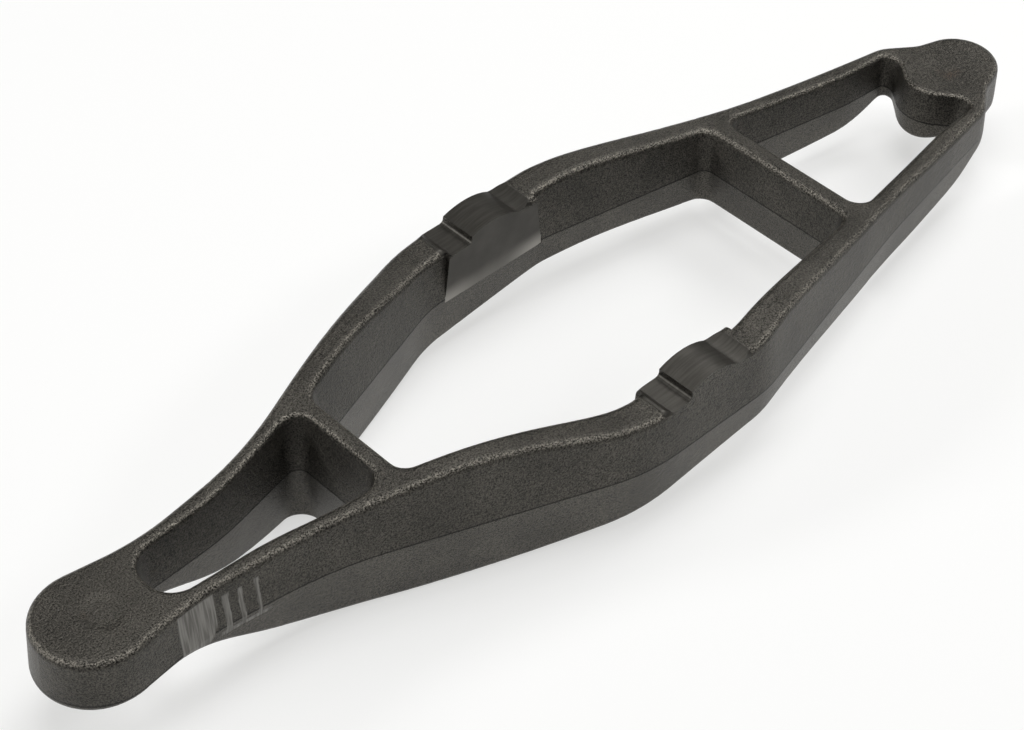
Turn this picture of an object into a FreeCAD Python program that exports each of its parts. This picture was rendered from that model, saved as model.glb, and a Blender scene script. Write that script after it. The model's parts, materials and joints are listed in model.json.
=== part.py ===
"""Clutch release fork: a drop-forged steel lever with two rails, two crossbars and two end bosses.

The forging is built on its flat parting plane (z = 0 while building), X from the pivot boss to the
push rod boss, Y across the rails.  Every wall leans back by the forging draft above and below the
parting plane, the top and the underside follow two long side profiles, and all forged edges are
rounded.  The bearing pads and the guide flats on the rails are machined afterwards.
"""
import FreeCAD, Part
import math
import os

from FreeCAD import Vector

# --- forging -----------------------------------------------------------------------------------
DRAFT_DEG = 7.0            # lean of the forged walls, away from the parting plane
PIVOT_BOSS_DRAFT_DEG = 4.0
ROD_BOSS_DRAFT_DEG = 1.5
TOP_EDGE_R = 2.6           # rounding along the upper edges
END_WINDOW_EDGE_R = 2.0    # the same around the windows by the bosses, whose rails are thin
BOTTOM_EDGE_R = 2.0        # rounding along the lower edges of the windows
OUTER_BOTTOM_EDGE_R = 2.4
DIE_HEIGHT = 30.0          # the drafted walls are drawn this far up and down before trimming
TOUCHING = 1e-4            # arcs nearer than this need no straight edge between them
LEVEL_NORMAL_Z = 0.7       # faces of the top and the underside point at least this far up or down

# --- end bosses, radii at the parting plane -----------------------------------------------------
PIVOT_BOSS_R = 19.6
ROD_BOSS_R = 14.9
BOSS_SPACING = 384.2       # centre to centre along X
CROWN_X = 194.0            # station of the bearing pads' highest line, from the pivot boss

# --- the widest stretch, where the rails carry the pads ------------------------------------------
FLAT_SPACING = 84.0        # between the two guide flats
FLAT_RISE = 0.15           # the flats' inset from the window's wall at the parting plane
PAD_RAIL_WIDTH = 16.65     # one rail, across, at the parting plane
MIDDLE_HALF_WIDTH = FLAT_SPACING / 2 - FLAT_RISE
RAIL_HALF_WIDTH = MIDDLE_HALF_WIDTH + PAD_RAIL_WIDTH

# --- outer outline of one rail at the parting plane ---------------------------------------------
NECK = (26.0, 16.4)        # narrowest place behind the pivot boss: x, half width
NECK_BLEND_R = 90.0
FLARE = (70.0, 22.0)       # where the rails start to spread
FLARE_BLEND_R = 145.0
WIDE_X = (-29.2, 25.3)     # corners of that widest stretch, from the pad's crown
WIDE_START_R = 70.0
WIDE_END_R = 40.0
TAPER = (306.0, 36.8)      # slight break in the long taper
TAPER_BLEND_R = 300.0
SHOULDER = (370.6, 24.6)   # corner in front of the push rod boss
SHOULDER_R = 15.0
ROD_NECK = (381.8, 16.4)   # hollow between that shoulder and the boss
ROD_NECK_R = 12.0

# --- windows at the parting plane: x, half width --------------------------------------------------
PIVOT_WINDOW_START = (20.7, 8.0)
PIVOT_WINDOW_BEND = (53.8, 9.7)
PIVOT_WINDOW_END_Y = 17.8
PIVOT_WINDOW_END_R = 7.2
PIVOT_WINDOW_BEND_R = 100.0
PIVOT_BAR = (89.1, 100.0)   # crossbar beside the pivot boss, from x to x
MIDDLE_WINDOW_START_Y = 19.3
MIDDLE_WIDE_X = (-28.0, 22.6)   # corners of its widest stretch, from the pad's crown
MIDDLE_WINDOW_END_Y = 29.8
MIDDLE_BEND_R = 40.0
ROD_BAR = (284.7, 295.7)   # crossbar towards the push rod boss
ROD_WINDOW_START_Y = 29.2
ROD_WINDOW_BEND = (348.0, 19.8)
ROD_WINDOW_END = (366.9, 18.7)
ROD_WINDOW_BEND_R = 60.0
POCKET_FLOOR_Y = 14.4      # where the pocket floor turns into the nose
POCKET_R = 2.2
POCKET_NOSE_R = 4.0
NOSE_APEX_X = 355.4        # the flanks of the boss's nose would meet here
NOSE_R = 13.6
CORNER_R = 4.0             # other window corners at the parting plane

# --- side profiles: x, z ---------------------------------------------------------------------------
TOP_NEAR = [(34, 16.9), (66, 18.2), (86, 20.8), (104, 23.5), (118, 24.2), (132, 23.2), (146, 20.9)]
TOP_PADS = [(-36, 19.0), (-27, 18.4), (-20, 18.5), (-15, 20.4), (-9, 24.0), (-2, 25.6), (5, 24.4),
            (12, 21.6), (18, 20.2), (25, 20.7)]   # forged hump the pads are milled from, from the crown
TOP_FAR = [(228, 21.8), (236, 21.8), (246, 21.0), (266, 18.5), (286, 16.3), (306, 14.8), (326, 13.6),
           (362, 12.8)]
UNDERSIDE = [(18, -2.5), (46, -13.7), (70, -21.4), (106, -24.2), (146, -22.2), (206, -14.0),
             (238, -11.4), (272, -13.8), (308, -15.7), (344, -13.4), (358, -10.6), (370, -4.8)]

# --- machined pads and flats, stations from the crown -----------------------------------------------
FLAT_X = (-21.3, 22.8)     # ends of the raised flats at their foot
FLAT_FOOT_Z = -1.3         # lower end of the machined flats
FLAT_LUMP_DEPTH = 5.0      # how far the raised stock is rooted in the rail
PAD_X = -9.1               # the step that ends the pad towards the pivot boss
PAD_TOP_Z = 22.0
PAD_CROWN_R = 22.3
PAD_RUNOUT_X = 11.0        # the crown turns hollow here
PAD_END = (18.5, 20.8)     # and runs out through the forged top here
PAD_HOLLOW_SAG = 0.9
RELIEF_Z = 17.3            # milled relief in front of the pad
RELIEF_X = (-21.0, -17.8)  # its sloping start
RELIEF_RISE = 2.0          # the slope starts this far above the relief
RELIEF_CORNER_R = 1.6

# --- ball seats under the bosses -------------------------------------------------------------------
PIVOT_BALL_R = 12.5
PIVOT_SEAT_DEPTH = 8.0
ROD_BALL_R = 8.5
ROD_SEAT_DEPTH = 5.0


def boss_corner(radius, reach, height):
    """Height at which the line from (reach, height), tangent to a boss, meets the boss's end line."""
    lean = math.acos(radius / math.hypot(reach, height)) - math.atan2(reach, height)
    return radius * math.tan((math.pi / 2 - lean) / 2)


def mirrored(half):
    """A closed outline from the corners of its +Y half, given from the pivot end to the rod end."""
    return half + [(x, -y, r) for x, y, r in reversed(half) if y > 0]


def grown(corners, growth):
    """The outline with every side moved out by growth and every corner radius kept concentric."""
    count = len(corners)
    sides = []
    for i in range(count):
        x0, y0, _ = corners[i]
        x1, y1, _ = corners[(i + 1) % count]
        length = math.hypot(x1 - x0, y1 - y0)
        ux, uy = (x1 - x0) / length, (y1 - y0) / length
        sides.append((x0 - uy * growth, y0 + ux * growth, ux, uy))
    moved = []
    for i in range(count):
        ax, ay, aux, auy = sides[i - 1]
        bx, by, bux, buy = sides[i]
        cross = aux * buy - auy * bux
        along = ((bx - ax) * buy - (by - ay) * bux) / cross
        radius = corners[i][2] + (growth if cross < 0 else -growth)
        moved.append((ax + aux * along, ay + auy * along, radius))
    return moved


def outline_edges(corners, z):
    """The outline at height z as tangent arcs joined by straight edges."""
    count = len(corners)
    arcs = []
    for i in range(count):
        here = Vector(corners[i][0], corners[i][1], z)
        back = Vector(corners[i - 1][0], corners[i - 1][1], z) - here
        ahead = Vector(corners[(i + 1) % count][0], corners[(i + 1) % count][1], z) - here
        back.normalize()
        ahead.normalize()
        half_turn = (math.pi - back.getAngle(ahead)) / 2
        radius = corners[i][2]
        cut = radius * math.tan(half_turn)
        inward = back + ahead
        inward.normalize()
        middle = here + inward * (radius / math.cos(half_turn) - radius)
        arcs.append((here + back * cut, middle, here + ahead * cut))
    edges = []
    for i in range(count):
        start, middle, stop = arcs[i]
        edges.append(Part.Arc(start, middle, stop).toShape())
        following = arcs[(i + 1) % count][0]
        if stop.distanceToPoint(following) > TOUCHING:
            edges.append(Part.LineSegment(stop, following).toShape())
    return edges


def drafted(outline):
    """Solid from the parting plane to the die height, both ways, of an outline that changes with height."""
    flat = outline_edges(outline(0.0), 0.0)
    halves = []
    for z in (DIE_HEIGHT, -DIE_HEIGHT):
        tip = outline_edges(outline(DIE_HEIGHT), z)
        walls = [Part.makeRuledSurface(a, b) for a, b in zip(flat, tip)]
        ends = [Part.Face(Part.Wire(edges)) for edges in (flat, tip)]
        shell = Part.makeShell(walls + ends)
        shell.sewShape()
        solid = Part.makeSolid(shell)
        if solid.Volume < 0:
            solid.reverse()
        halves.append(solid)
    return halves[0].fuse(halves[1])


def lean(degrees, height):
    return math.tan(math.radians(degrees)) * height


def outer_outline(height):
    """The outer outline at a height above or below the parting plane.  The bosses lean less."""
    draft = lean(DRAFT_DEG, height)
    pivot_r = PIVOT_BOSS_R + draft - lean(PIVOT_BOSS_DRAFT_DEG, height)
    gain = draft - lean(ROD_BOSS_DRAFT_DEG, height)
    rod_r = ROD_BOSS_R + gain
    rod_neck = (ROD_NECK[0], ROD_NECK[1] + gain)
    near_y = boss_corner(pivot_r, *NECK)
    far_y = boss_corner(rod_r, BOSS_SPACING - rod_neck[0], rod_neck[1])
    half = [(-pivot_r, near_y, pivot_r),
            (*NECK, NECK_BLEND_R),
            (*FLARE, FLARE_BLEND_R),
            (CROWN_X + WIDE_X[0], RAIL_HALF_WIDTH, WIDE_START_R),
            (CROWN_X + WIDE_X[1], RAIL_HALF_WIDTH, WIDE_END_R),
            (*TAPER, TAPER_BLEND_R),
            (SHOULDER[0], SHOULDER[1] + gain, SHOULDER_R),
            (*rod_neck, ROD_NECK_R),
            (BOSS_SPACING + rod_r, far_y, rod_r)]
    return grown(mirrored(half), -draft)


def pivot_window(height):
    half = [(*PIVOT_WINDOW_START, PIVOT_WINDOW_END_R),
            (*PIVOT_WINDOW_BEND, PIVOT_WINDOW_BEND_R),
            (PIVOT_BAR[0], PIVOT_WINDOW_END_Y, CORNER_R)]
    return grown(mirrored(half), lean(DRAFT_DEG, height))


def middle_window(height):
    half = [(PIVOT_BAR[1], MIDDLE_WINDOW_START_Y, CORNER_R),
            (CROWN_X + MIDDLE_WIDE_X[0], MIDDLE_HALF_WIDTH, MIDDLE_BEND_R),
            (CROWN_X + MIDDLE_WIDE_X[1], MIDDLE_HALF_WIDTH, MIDDLE_BEND_R),
            (ROD_BAR[0], MIDDLE_WINDOW_END_Y, CORNER_R)]
    return grown(mirrored(half), lean(DRAFT_DEG, height))


def rod_window(height):
    half = [(ROD_BAR[1], ROD_WINDOW_START_Y, CORNER_R),
            (*ROD_WINDOW_BEND, ROD_WINDOW_BEND_R),
            (*ROD_WINDOW_END, POCKET_R),
            (ROD_WINDOW_END[0], POCKET_FLOOR_Y, POCKET_NOSE_R),
            (NOSE_APEX_X, 0.0, NOSE_R)]
    return grown(mirrored(half), lean(DRAFT_DEG, height))


def side_curve(stations, reach):
    """One smooth side profile, level over both bosses."""
    x0, z0 = stations[0]
    x1, z1 = stations[-1]
    start = -2 * PIVOT_BOSS_R
    stop = BOSS_SPACING + 2 * ROD_BOSS_R
    level = [(start, z0), ((start + x0) / 2, z0)]
    tail = [((stop + x1) / 2, z1), (stop, z1)]
    points = [Vector(x, -reach, z) for x, z in level + stations + tail]
    curve = Part.BSplineCurve()
    curve.interpolate(Points=points, InitialTangent=Vector(1, 0, 0), FinalTangent=Vector(1, 0, 0))
    return curve.toShape()


def side_prism():
    """Everything between the two side profiles, over the whole width."""
    reach = 2 * RAIL_HALF_WIDTH
    pads = [(CROWN_X + x, z) for x, z in TOP_PADS]
    top = side_curve(TOP_NEAR + pads + TOP_FAR, reach)
    under = side_curve(UNDERSIDE, reach)
    near = Part.LineSegment(under.Vertexes[0].Point, top.Vertexes[0].Point).toShape()
    far = Part.LineSegment(top.Vertexes[-1].Point, under.Vertexes[-1].Point).toShape()
    wire = Part.Wire(Part.__sortEdges__([near, top, far, under]))
    return Part.Face(wire).extrude(Vector(0, 2 * reach, 0))


def middle_normal(face):
    u0, u1, v0, v1 = face.ParameterRange
    return face.normalAt((u0 + u1) / 2, (v0 + v1) / 2)


def rim(solid, corners, upward):
    """The edge loop where the top (or the underside) meets the walls of one outline."""
    xs = [x for x, _, _ in corners]
    ys = [y for _, y, _ in corners]

    def misfit(wire):
        box = wire.BoundBox
        return abs(box.XMin - min(xs)) + abs(box.XMax - max(xs)) + abs(box.YMax - max(ys))

    level = [face for face in solid.Faces if upward * middle_normal(face).z > LEVEL_NORMAL_Z]
    return min((wire for face in level for wire in face.Wires), key=misfit).Edges


def forging():
    """The plain drop forging with its rounded edges."""
    edge_radii = [(outer_outline, TOP_EDGE_R, OUTER_BOTTOM_EDGE_R),
                  (pivot_window, END_WINDOW_EDGE_R, BOTTOM_EDGE_R),
                  (middle_window, TOP_EDGE_R, BOTTOM_EDGE_R),
                  (rod_window, END_WINDOW_EDGE_R, BOTTOM_EDGE_R)]
    blank = drafted(outer_outline)
    for window in (pivot_window, middle_window, rod_window):
        blank = blank.cut(drafted(window))
    blank = blank.common(side_prism()).Solids[0]
    for outline, top_radius, bottom_radius in edge_radii:
        corners = outline(0.0)
        blank = blank.makeFillet(top_radius, rim(blank, corners, 1))
        blank = blank.makeFillet(bottom_radius, rim(blank, corners, -1))
    return blank


def side_plate(points, y0, y1):
    """A plate between y0 and y1 whose outline in the XZ plane is the given corners."""
    corners = [Vector(x, y0, z) for x, z in points]
    return Part.Face(Part.makePolygon(corners + corners[:1])).extrude(Vector(0, y1 - y0, 0))


def flat_lump():
    """Forged stock that stands proud of the +Y rail's inner wall and carries the guide flat."""
    draft = lean(DRAFT_DEG, DIE_HEIGHT - FLAT_FOOT_Z)
    x0, x1 = CROWN_X + FLAT_X[0], CROWN_X + FLAT_X[1]
    outline = [(x0, FLAT_FOOT_Z), (x0 + draft, DIE_HEIGHT), (x1 - draft, DIE_HEIGHT), (x1, FLAT_FOOT_Z)]
    inner = FLAT_SPACING / 2
    plate = side_plate(outline, inner, inner + FLAT_LUMP_DEPTH).common(side_prism())
    top = max(plate.Faces, key=lambda face: middle_normal(face).z)
    edges = [edge for edge in top.Edges if edge.BoundBox.YMax < inner + FLAT_LUMP_DEPTH / 2]
    return plate.makeFillet(TOP_EDGE_R, edges)


def milling():
    """Material above the milled reliefs and pad crowns, across the whole fork."""
    def at(x, z):
        return Vector(CROWN_X + x, -2 * RAIL_HALF_WIDTH, z)

    def crown(x):
        return at(x, PAD_TOP_Z - PAD_CROWN_R + math.sqrt(PAD_CROWN_R ** 2 - x ** 2))

    r = RELIEF_CORNER_R
    bend = r * (1 - math.sin(math.pi / 4))
    runout, end = crown(PAD_RUNOUT_X), at(*PAD_END)
    edges = [Part.LineSegment(at(RELIEF_X[0], RELIEF_Z + RELIEF_RISE), at(RELIEF_X[1], RELIEF_Z)),
             Part.LineSegment(at(RELIEF_X[1], RELIEF_Z), at(PAD_X - r, RELIEF_Z)),
             Part.Arc(at(PAD_X - r, RELIEF_Z), at(PAD_X - bend, RELIEF_Z + bend), at(PAD_X, RELIEF_Z + r)),
             Part.LineSegment(at(PAD_X, RELIEF_Z + r), crown(PAD_X)),
             Part.Arc(crown(PAD_X), crown(0), runout),
             Part.Arc(runout, (runout + end) * 0.5 - Vector(0, 0, PAD_HOLLOW_SAG), end),
             Part.LineSegment(end, at(PAD_END[0], DIE_HEIGHT)),
             Part.LineSegment(at(PAD_END[0], DIE_HEIGHT), at(RELIEF_X[0], DIE_HEIGHT)),
             Part.LineSegment(at(RELIEF_X[0], DIE_HEIGHT), at(RELIEF_X[0], RELIEF_Z + RELIEF_RISE))]
    wire = Part.Wire([edge.toShape() for edge in edges])
    return Part.Face(wire).extrude(Vector(0, 4 * RAIL_HALF_WIDTH, 0))


def flats_gap():
    """The space between the two guide flats, milled out of the rails."""
    corner = Vector(CROWN_X + FLAT_X[0], -FLAT_SPACING / 2, FLAT_FOOT_Z)
    return Part.makeBox(FLAT_X[1] - FLAT_X[0], FLAT_SPACING, DIE_HEIGHT, corner)


def ball(x, under_z, radius, depth):
    return Part.makeSphere(radius, Vector(x, 0, under_z + depth - radius))


def fork():
    body = forging()
    lump = flat_lump()
    body = body.fuse([lump, lump.mirror(Vector(0, 0, 0), Vector(0, 1, 0))])
    body = body.cut([flats_gap(), milling(),
                     ball(0, UNDERSIDE[0][1], PIVOT_BALL_R, PIVOT_SEAT_DEPTH),
                     ball(BOSS_SPACING, UNDERSIDE[-1][1], ROD_BALL_R, ROD_SEAT_DEPTH)])
    body = body.removeSplitter()
    box = body.optimalBoundingBox(False)
    body.translate(Vector(-(box.XMin + box.XMax) / 2, -(box.YMin + box.YMax) / 2, -box.ZMin))
    return body.Solids[0]


if __name__ == "__main__":
    os.makedirs("parts", exist_ok=True)
    shape = fork()
    print(shape.ShapeType, len(shape.Faces), shape.Volume, shape.isValid(), shape.optimalBoundingBox(False))
    shape.exportStep("parts/fork.step")
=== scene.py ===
import bpy
import json
import math
from mathutils import Euler, Matrix, Vector


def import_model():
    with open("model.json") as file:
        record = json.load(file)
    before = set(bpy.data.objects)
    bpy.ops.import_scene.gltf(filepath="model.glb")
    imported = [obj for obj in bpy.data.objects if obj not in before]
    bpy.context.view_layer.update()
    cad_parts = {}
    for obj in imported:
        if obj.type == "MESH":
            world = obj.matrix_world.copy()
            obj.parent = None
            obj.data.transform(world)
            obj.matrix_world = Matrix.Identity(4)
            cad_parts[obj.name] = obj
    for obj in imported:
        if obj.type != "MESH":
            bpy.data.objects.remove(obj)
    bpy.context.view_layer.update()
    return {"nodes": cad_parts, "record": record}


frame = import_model()

# ------------------------------------------------------------------------------ places on the fork
# In mm: along from the pivot boss's centre, across from the middle, up from the parting plane.
# A pair of numbers is where a mask begins and where it is full.

MM = 0.001
mounts = {mount["name"]: mount["pos_m"] for mount in frame["record"]["mounts"]}
PIVOT_X = mounts["pivot_seat"][0]
CROWN_X = mounts["pad_crown_left"][0]
CROWN_Z = mounts["pad_crown_left"][2]
FLAT_Y = mounts["guide_flat_left"][1]
CROWN_UP = 22.0            # the pads' crowns
CROWN_R = 22.3             # their radius
PARTING_Z = CROWN_Z - CROWN_UP * MM
CROWN_ALONG = (CROWN_X - PIVOT_X) / MM
FLAT_ACROSS = FLAT_Y / MM

# milled pads, from their crowns
PAD_START, PAD_END, PAD_SOFT = -20.5, 17.5, 0.8
PAD_UP = (16.6, 17.0)
PAD_ACROSS = (41.0, 41.5)
PAD_FACING_UP = (0.15, 0.3)

# milled guide flats, from the crowns
FLAT_START, FLAT_END, FLAT_SOFT = -21.6, 23.1, 0.2
FLAT_UP = (-1.4, -1.3)
FLAT_TOLERANCE, FLAT_TOLERANCE_SOFT = 0.05, 0.02
FLAT_FACING = (0.9975, 0.9985)
FLAT_REFLECTION_UP = (-1.3, 6.0)            # painted reflection below the first, plain above the second
FLAT_REFLECTION_FROM_CROWN = (4.0, 22.0)
FLAT_REFLECTION_MIDDLE = 0.35               # share of the painted reflection under the crown

# grinding marks on the right rail beside the pivot boss: along, along, up, up, softness
GROUND_MARKS = [(17.2, 30.0, -2.0, 14.2, 0.5), (33.0, 34.9, -3.2, 11.6, 0.35),
                (38.4, 39.6, -2.6, 11.2, 0.3), (44.0, 45.0, -2.2, 11.6, 0.3),
                (24.0, 47.0, -2.9, -2.2, 2.0)]
GROUND_SOFT_UP = 0.8
GROUND_WANDER = 0.35                   # how far the marks' edges wander
GROUND_WANDER_SPAN = (0.25, 0.75)
GROUND_CUT_SLOPE = -0.55               # the widest mark ends on a slope
GROUND_CUT = (28.0, 29.5)
GROUND_ABOVE_CUT = (4.0, 6.0)
GROUND_PAST_CUT = (31.0, 32.0)
GROUND_ACROSS = (-12.0, -13.0)
FACING_RIGHT = (-0.9, -0.95)

# burr on the right pad's outer edge, painted bright as a glint
BURR_UP = (21.35, 21.65)
BURR_START, BURR_END, BURR_SOFT = 192.5, 201.0, 2.5
BURR_ACROSS = (-50.0, -52.0)

# scratch and round dish on top of the pivot boss
SCRATCH_ALONG, SCRATCH_ACROSS, SCRATCH_DEGREES = -12.2, 5.2, 21.2
SCRATCH_START, SCRATCH_END, SCRATCH_END_SOFT = 0.5, 7.2, 0.5
SCRATCH_HALF_WIDTH, SCRATCH_SIDE_SOFT = 0.15, 0.2
SCRATCH_UP = (15.0, 16.0)
DISH_ALONG, DISH_ACROSS = 2.8, -1.4
DISH_RIM = (4.6, 7.6)
DISH_DEPTH = 0.35

# forged skin
PATCH_SHADES = (0.85, 1.15)
# painted light: the lower half, below the parting line, is made lighter as light falls on its
# drafted walls
BELOW_PARTING = (-0.4, 0.4)
BELOW_PARTING_PAINTED_LIGHT = 1.15
EDGE_FACING_UP = (0.45, 0.65)          # the rounded upper edges: rubbed wear, and painted bright as a highlight
TOP_FACING_UP = (0.86, 0.97)
EDGE_GRAIN = (0.38, 0.6)
EDGE_HIGHLIGHT_AND_WEAR = 1.4
# painted shade: a dark band on the walls just above the parting line, where the parting step
# shades the wall
SEAM_START, SEAM_END, SEAM_SOFT = 0.15, 0.45, 0.25
SEAM_FACING_UP = (0.3, 0.4)
SEAM_SHADE_STRENGTH = 0.7
RUST_SPREAD = (0.70, 0.76)
RUST_GRAIN = (0.45, 0.6)
RUST_STRENGTH = 0.6
SPECK_GRAIN = (0.5, 0.6)               # bright grains in the burr's painted glint and the scratch
SPECK_STRENGTH = 0.8
FINE_SHARE, COARSE_SHARE = 0.8, 0.45   # of the two grains in the skin's relief
SKIN_DEPTH = 0.42
SKIN_REMOVED = 0.93                    # share of that relief gone from milled and ground faces

# noise, in cells per metre
FINE_GRAIN = 1900.0
COARSE_GRAIN = 520.0
PATCHES = 60.0
RUST_SPOTS = 45.0
WANDER_SCALE = (500.0, 0.0, 150.0)
STREAK_SCALE = (1500.0, 0.0, 70.0)     # grinding streaks
RAY_SCALE = (90.0, 1100.0, 90.0)       # milling marks
NOISE_SPAN = (0.3, 0.7)                # where nearly all of a noise's values lie
STREAK_SPAN = (0.35, 0.65)
DETAIL = 3.0                           # octaves, where a noise has more than the plain 2
FINE_ROUGH = 0.65

GRAIN_DARK = (0.008, 0.0074, 0.0062, 1)
GRAIN_LIGHT = (0.124, 0.115, 0.098, 1)
RUST = (0.085, 0.05, 0.03, 1)
MILLED_DARK = (0.046, 0.043, 0.037, 1)
MILLED_LIGHT = (0.067, 0.063, 0.055, 1)
# colour of the painted reflection on the flats
FLAT_PAINTED_REFLECTION = (0.30, 0.288, 0.263, 1)
GROUND_DARK = (0.110, 0.105, 0.095, 1)
GROUND_LIGHT = (0.22, 0.213, 0.197, 1)
SKIN_ROUGHNESS = (0.30, 0.48)
MILLED_ROUGHNESS = 0.44
GROUND_ROUGHNESS = 0.45
METALLIC = 0.75
SPECULAR = 0.5

# ------------------------------------------------------------------------------ node building


class Graph:
    """A material's node tree, with short calls for the nodes used here."""

    def __init__(self, name):
        self.material = bpy.data.materials.new(name)
        self.material.use_nodes = True
        self.tree = self.material.node_tree
        self.tree.nodes.clear()

    def node(self, kind, **settings):
        node = self.tree.nodes.new("ShaderNode" + kind)
        for key, value in settings.items():
            setattr(node, key, value)
        return node

    def put(self, socket, value):
        if isinstance(value, bpy.types.NodeSocket):
            self.tree.links.new(value, socket)
        else:
            socket.default_value = value

    def math(self, operation, a, b=0.0):
        node = self.node("Math", operation=operation)
        self.put(node.inputs[0], a)
        self.put(node.inputs[1], b)
        return node.outputs[0]

    def product(self, *factors):
        result = factors[0]
        for factor in factors[1:]:
            result = self.math("MULTIPLY", result, factor)
        return result

    def less(self, mask, amount):
        """1 where the mask is 0, and amount less where it is 1."""
        return self.math("SUBTRACT", 1.0, self.product(mask, amount))

    def split(self, vector):
        node = self.node("SeparateXYZ")
        self.put(node.inputs[0], vector)
        return node.outputs

    def ramp(self, value, start, stop, low=0.0, high=1.0):
        """low before start, high after stop, smooth between."""
        node = self.node("MapRange", interpolation_type="SMOOTHSTEP")
        for name, setting in (("Value", value), ("From Min", start), ("From Max", stop),
                              ("To Min", low), ("To Max", high)):
            self.put(node.inputs[name], setting)
        return node.outputs["Result"]

    def between(self, value, low, high, soft):
        """1 inside low..high, falling to 0 within soft outside them."""
        rise = self.ramp(value, low - soft, low)
        fall = self.ramp(value, high, high + soft, 1.0, 0.0)
        return self.product(rise, fall)

    def noise(self, vector, scale, detail=2.0, rough=0.5):
        node = self.node("TexNoise")
        self.put(node.inputs["Vector"], vector)
        node.inputs["Scale"].default_value = scale
        node.inputs["Detail"].default_value = detail
        node.inputs["Roughness"].default_value = rough
        return node.outputs["Fac"]

    def stretched_noise(self, vector, scales):
        """Noise with its own scale along each axis."""
        node = self.node("VectorMath", operation="MULTIPLY")
        self.put(node.inputs[0], vector)
        node.inputs[1].default_value = scales
        return self.noise(node.outputs[0], 1.0, DETAIL)

    def mix(self, factor, a, b):
        node = self.node("Mix", data_type="RGBA")
        self.put(node.inputs["Factor"], factor)
        self.put(node.inputs[6], a)
        self.put(node.inputs[7], b)
        return node.outputs[2]

    def blend(self, factor, a, b):
        node = self.node("Mix", data_type="FLOAT")
        self.put(node.inputs["Factor"], factor)
        self.put(node.inputs[2], a)
        self.put(node.inputs[3], b)
        return node.outputs[0]

    def scaled(self, colour, amount):
        node = self.node("VectorMath", operation="SCALE")
        self.put(node.inputs[0], colour)
        self.put(node.inputs["Scale"], amount)
        return node.outputs[0]

    def bump(self, height, depth, normal=None):
        """Relief of this depth, in mm, on top of the normal."""
        node = self.node("Bump")
        node.inputs["Strength"].default_value = 1.0
        node.inputs["Distance"].default_value = depth * MM
        self.put(node.inputs["Height"], height)
        if normal is not None:
            self.put(node.inputs["Normal"], normal)
        return node.outputs["Normal"]


class Surface:
    """Where a point of the fork lies and which way it faces."""

    def __init__(self, g):
        self.place = g.node("TexCoord").outputs["Object"]
        x, y, z = g.split(self.place)
        self.along = g.product(g.math("SUBTRACT", x, PIVOT_X), 1 / MM)
        self.across = g.product(y, 1 / MM)
        self.up = g.product(g.math("SUBTRACT", z, PARTING_Z), 1 / MM)
        self.side = g.math("ABSOLUTE", self.across)
        self.from_crown = g.math("SUBTRACT", self.along, CROWN_ALONG)
        normal = g.split(g.node("NewGeometry").outputs["Normal"])
        self.facing_across = normal["Y"]
        self.facing_up = normal["Z"]


# ------------------------------------------------------------------------------ steel


def milled_pads(g, at):
    """1 on the two crowned pads and their shoulders."""
    return g.product(g.between(at.from_crown, PAD_START, PAD_END, PAD_SOFT),
                     g.ramp(at.up, *PAD_UP),
                     g.ramp(at.facing_up, *PAD_FACING_UP),
                     g.ramp(at.side, *PAD_ACROSS))


def guide_flats(g, at):
    """1 on the two milled flats that face the release bearing."""
    low, high = FLAT_ACROSS - FLAT_TOLERANCE, FLAT_ACROSS + FLAT_TOLERANCE
    return g.product(g.between(at.side, low, high, FLAT_TOLERANCE_SOFT),
                     g.ramp(g.math("ABSOLUTE", at.facing_across), *FLAT_FACING),
                     g.between(at.from_crown, FLAT_START, FLAT_END, FLAT_SOFT),
                     g.ramp(at.up, *FLAT_UP))


def grinding_marks(g, at):
    """1 where the right rail was touched with a grinding wheel beside the pivot boss."""
    wander = g.stretched_noise(at.place, WANDER_SCALE)
    shift = g.ramp(wander, *GROUND_WANDER_SPAN, -GROUND_WANDER, GROUND_WANDER)
    along = g.math("ADD", at.along, shift)
    ground = 0.0
    for start, end, bottom, top, soft in GROUND_MARKS:
        mark = g.product(g.between(along, start, end, soft),
                         g.between(at.up, bottom, top, GROUND_SOFT_UP))
        ground = g.math("MAXIMUM", ground, mark)
    sloped = g.math("ADD", at.along, g.product(at.up, GROUND_CUT_SLOPE))
    kept = g.math("MAXIMUM", g.ramp(at.up, *GROUND_ABOVE_CUT), g.ramp(at.along, *GROUND_PAST_CUT))
    kept = g.math("MAXIMUM", g.ramp(sloped, *GROUND_CUT, 1.0, 0.0), kept)
    return g.product(ground, kept,
                     g.ramp(at.facing_across, *FACING_RIGHT),
                     g.ramp(at.across, *GROUND_ACROSS))


def pad_burr_glint(g, at):
    """1 along the outer edge of the right pad's crown, where a glint is painted on the burr."""
    drop = g.product(at.from_crown, at.from_crown, 1 / (2 * CROWN_R))
    return g.product(g.ramp(g.math("ADD", at.up, drop), *BURR_UP),
                     g.between(at.along, BURR_START, BURR_END, BURR_SOFT),
                     g.ramp(at.facing_across, *FACING_RIGHT),
                     g.ramp(at.across, *BURR_ACROSS))


def boss_scratch(g, at):
    """1 on a short scratch on top of the pivot boss."""
    cosine = math.cos(math.radians(SCRATCH_DEGREES))
    sine = math.sin(math.radians(SCRATCH_DEGREES))
    along = g.math("SUBTRACT", at.along, SCRATCH_ALONG)
    across = g.math("SUBTRACT", at.across, SCRATCH_ACROSS)
    length = g.math("ADD", g.product(along, cosine), g.product(across, sine))
    width = g.math("SUBTRACT", g.product(across, cosine), g.product(along, sine))
    return g.product(g.between(length, SCRATCH_START, SCRATCH_END, SCRATCH_END_SOFT),
                     g.between(width, -SCRATCH_HALF_WIDTH, SCRATCH_HALF_WIDTH, SCRATCH_SIDE_SOFT),
                     g.ramp(at.up, *SCRATCH_UP))


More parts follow.
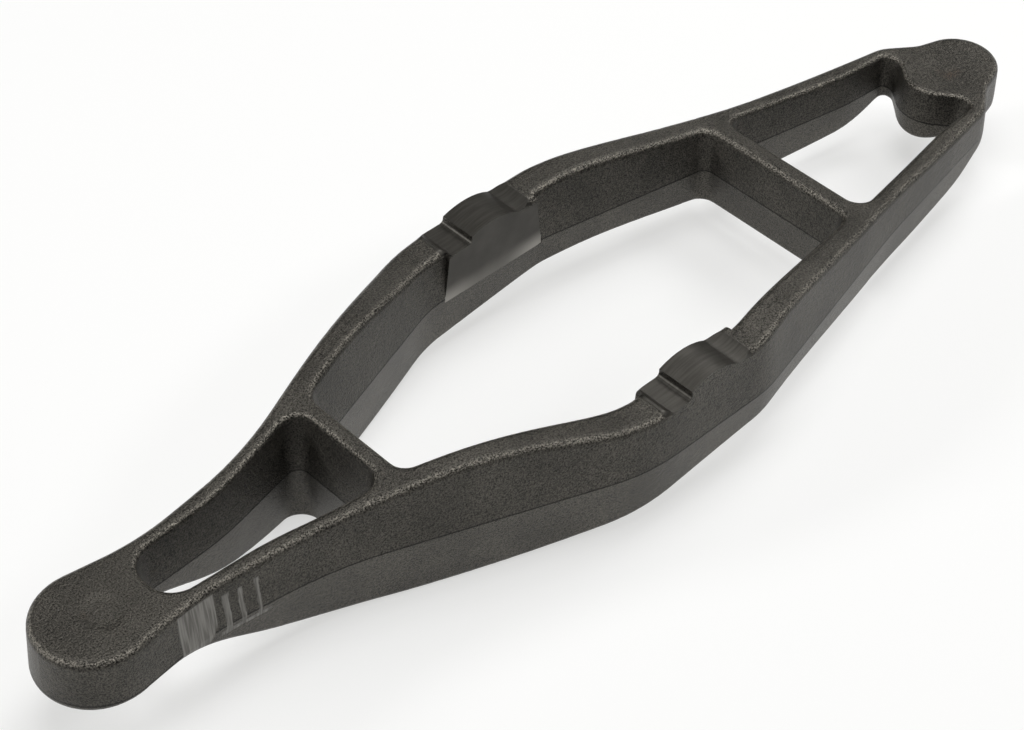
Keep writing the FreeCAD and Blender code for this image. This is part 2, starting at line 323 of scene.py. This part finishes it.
def forged_colour(g, at, fine):
    """Dark blasted skin: grain, patches, the lower half painted lighter, rubbed upper edges with a
    painted highlight, painted shade along the parting seam, and rust spots.
    """
    patchy = g.noise(at.place, PATCHES, DETAIL)
    tone_and_painted_light = g.ramp(patchy, *NOISE_SPAN, *PATCH_SHADES)
    # painted light: the lower half lighter than the upper
    tone_and_painted_light = g.product(tone_and_painted_light, g.ramp(at.up, *BELOW_PARTING, BELOW_PARTING_PAINTED_LIGHT, 1.0))
    # painted highlight on the rounded upper edges, with some rubbed wear in it
    rubbed_edge_highlight = g.product(g.ramp(at.facing_up, *EDGE_FACING_UP),
                       g.ramp(at.facing_up, *TOP_FACING_UP, 1.0, 0.0),
                       g.ramp(fine, *EDGE_GRAIN))
    tone_and_painted_light = g.math("ADD", tone_and_painted_light, g.product(rubbed_edge_highlight, EDGE_HIGHLIGHT_AND_WEAR))
    # painted shade along the parting seam
    seam_shade = g.product(g.between(at.up, SEAM_START, SEAM_END, SEAM_SOFT),
                     g.ramp(g.math("ABSOLUTE", at.facing_up), *SEAM_FACING_UP, 1.0, 0.0))
    tone_and_painted_light = g.product(tone_and_painted_light, g.less(seam_shade, SEAM_SHADE_STRENGTH))
    grain = g.mix(g.ramp(fine, *NOISE_SPAN), GRAIN_DARK, GRAIN_LIGHT)
    rust = g.product(g.ramp(g.noise(at.place, RUST_SPOTS), *RUST_SPREAD),
                     g.ramp(fine, *RUST_GRAIN), RUST_STRENGTH)
    return g.mix(rust, g.scaled(grain, tone_and_painted_light), RUST)


def milled_colour(g, at, flats):
    """Fine milling marks, with a painted reflection on the flats low down and towards their ends.
    """
    rays = g.stretched_noise(at.place, RAY_SCALE)
    plain = g.mix(g.ramp(rays, *NOISE_SPAN), MILLED_DARK, MILLED_LIGHT)
    # painted reflection on the flats, brightest low down and towards their ends
    painted_reflection = g.product(g.ramp(at.up, *FLAT_REFLECTION_UP, 1.0, 0.0),
                      g.ramp(g.math("ABSOLUTE", at.from_crown), *FLAT_REFLECTION_FROM_CROWN,
                             FLAT_REFLECTION_MIDDLE, 1.0))
    return g.mix(g.product(flats, painted_reflection), plain, FLAT_PAINTED_REFLECTION)


def ground_colour(g, at):
    """Bright grinding streaks."""
    streaks = g.stretched_noise(at.place, STREAK_SCALE)
    return g.mix(g.ramp(streaks, *STREAK_SPAN), GROUND_DARK, GROUND_LIGHT)


def relief(g, at, fine, machined):
    """The blasted skin's grain, and the round dish on the pivot boss."""
    coarse = g.noise(at.place, COARSE_GRAIN)
    skin = g.math("ADD", g.product(fine, FINE_SHARE), g.product(coarse, COARSE_SHARE))
    skin = g.product(skin, g.less(machined, SKIN_REMOVED))
    along = g.math("SUBTRACT", at.along, DISH_ALONG)
    across = g.math("SUBTRACT", at.across, DISH_ACROSS)
    radius = g.math("SQRT", g.math("ADD", g.product(along, along), g.product(across, across)))
    grainy = g.bump(skin, SKIN_DEPTH)
    return g.bump(g.ramp(radius, *DISH_RIM), DISH_DEPTH, grainy)


def forged_steel():
    g = Graph("forged_steel")
    at = Surface(g)
    fine = g.noise(at.place, FINE_GRAIN, DETAIL, FINE_ROUGH)
    flats = guide_flats(g, at)
    milled = g.math("MAXIMUM", milled_pads(g, at), flats)
    specks = g.product(g.ramp(fine, *SPECK_GRAIN), SPECK_STRENGTH)
    # painted glint on the pad's burr, and the bare scratch, both coloured like the grinding marks
    # below
    scratch_and_burr_glint = g.math("MAXIMUM", pad_burr_glint(g, at), boss_scratch(g, at))
    ground = g.math("MAXIMUM", grinding_marks(g, at), g.product(scratch_and_burr_glint, specks))

    colour = g.mix(milled, forged_colour(g, at, fine), milled_colour(g, at, flats))
    colour = g.mix(ground, colour, ground_colour(g, at))
    roughness = g.ramp(fine, *NOISE_SPAN, *SKIN_ROUGHNESS)
    roughness = g.blend(milled, roughness, MILLED_ROUGHNESS)
    roughness = g.blend(ground, roughness, GROUND_ROUGHNESS)

    shader = g.node("BsdfPrincipled")
    g.put(shader.inputs["Base Color"], colour)
    g.put(shader.inputs["Roughness"], roughness)
    shader.inputs["Metallic"].default_value = METALLIC
    shader.inputs["Specular IOR Level"].default_value = SPECULAR
    g.put(shader.inputs["Normal"], relief(g, at, fine, g.math("MAXIMUM", milled, ground)))
    g.put(g.node("OutputMaterial").inputs["Surface"], shader.outputs["BSDF"])
    return g.material


steel = forged_steel()
for slot in frame["nodes"]["fork"].material_slots:
    slot.material = steel

# ------------------------------------------------------------------------------ stage
FLOOR_HALF = 6.0           # m
FLOOR_COLOUR = (0.9, 0.9, 0.9, 1)
FLOOR_GLOW = (1, 1, 0.985, 1)
GLOW_SHARE = 0.6           # share of the seen floor that is plain white; the rest shows the shadow
LAMP_DISTANCE = 1.6        # m
SOFT_BOXES = [             # name, azimuth and elevation in degrees, diameter in m, power in W
    ("top_box", 0, 90, 1.0, 13.5),
    ("back_box", 12, 50, 0.8, 9.5),
    ("left_box", 143, 29, 0.35, 9.0),
    ("right_box", 312, 40, 0.35, 5.0)]
ROOM_LIGHT = 0.02
CAMERA_PLACE = (-0.42048, -0.39921, 0.57267)
CAMERA_TILT, CAMERA_ROLL, CAMERA_HEADING = 45.9631, -0.8154, -43.7972   # degrees
SENSOR_WIDTH, FOCAL_LENGTH = 36.0, 86.93   # mm


def link(name, data):
    obj = bpy.data.objects.new(name, data)
    bpy.context.scene.collection.objects.link(obj)
    return obj


def pale_floor():
    g = Graph("pale_floor")
    diffuse = g.node("BsdfDiffuse")
    diffuse.inputs["Color"].default_value = FLOOR_COLOUR
    glow = g.node("Emission")
    glow.inputs["Color"].default_value = FLOOR_GLOW
    path = g.node("LightPath").outputs
    mirrored = g.math("MAXIMUM", path["Is Glossy Ray"], path["Is Transmission Ray"])
    seen = g.math("MAXIMUM", path["Is Camera Ray"], mirrored)
    both = g.node("MixShader")
    g.put(both.inputs[0], g.product(seen, GLOW_SHARE))
    g.put(both.inputs[1], diffuse.outputs["BSDF"])
    g.put(both.inputs[2], glow.outputs["Emission"])
    g.put(g.node("OutputMaterial").inputs["Surface"], both.outputs[0])
    return g.material


def floor():
    half = FLOOR_HALF
    corners = [(-half, -half, 0), (half, -half, 0), (half, half, 0), (-half, half, 0)]
    mesh = bpy.data.meshes.new("floor")
    mesh.from_pydata(corners, [], [(0, 1, 2, 3)])
    mesh.materials.append(pale_floor())
    link("floor", mesh)


def soft_box(name, azimuth, elevation, size, watts):
    """A round lamp aimed at the fork."""
    lamp = bpy.data.lights.new(name, "AREA")
    lamp.shape = "DISK"
    lamp.size = size
    lamp.energy = watts
    turn, rise = math.radians(azimuth), math.radians(elevation)
    level = math.cos(rise)
    direction = Vector((math.cos(turn) * level, math.sin(turn) * level, math.sin(rise)))
    obj = link(name, lamp)
    obj.location = direction * LAMP_DISTANCE
    obj.rotation_euler = direction.to_track_quat("Z", "Y").to_euler()


def world():
    """A white backdrop for the camera, and little light on the fork."""
    studio = bpy.data.worlds.new("studio")
    bpy.context.scene.world = studio
    studio.use_nodes = True
    nodes = studio.node_tree.nodes
    links = studio.node_tree.links
    background = nodes["Background"]
    background.inputs["Color"].default_value = (1, 1, 1, 1)
    path = nodes.new("ShaderNodeLightPath")
    strength = nodes.new("ShaderNodeMapRange")
    strength.inputs["To Min"].default_value = ROOM_LIGHT
    strength.inputs["To Max"].default_value = 1.0
    links.new(path.outputs["Is Camera Ray"], strength.inputs["Value"])
    links.new(strength.outputs["Result"], background.inputs["Strength"])


def camera():
    data = bpy.data.cameras.new("camera")
    data.sensor_width = SENSOR_WIDTH
    data.lens = FOCAL_LENGTH
    data.clip_start = 0.05
    data.clip_end = 50.0
    turn = Euler([math.radians(angle) for angle in (CAMERA_TILT, CAMERA_ROLL, CAMERA_HEADING)])
    obj = link("camera", data)
    obj.matrix_world = Matrix.Translation(CAMERA_PLACE) @ turn.to_matrix().to_4x4()
    bpy.context.scene.camera = obj


floor()
for box in SOFT_BOXES:
    soft_box(*box)
world()
camera()
bpy.context.scene.view_settings.view_transform = "Standard"
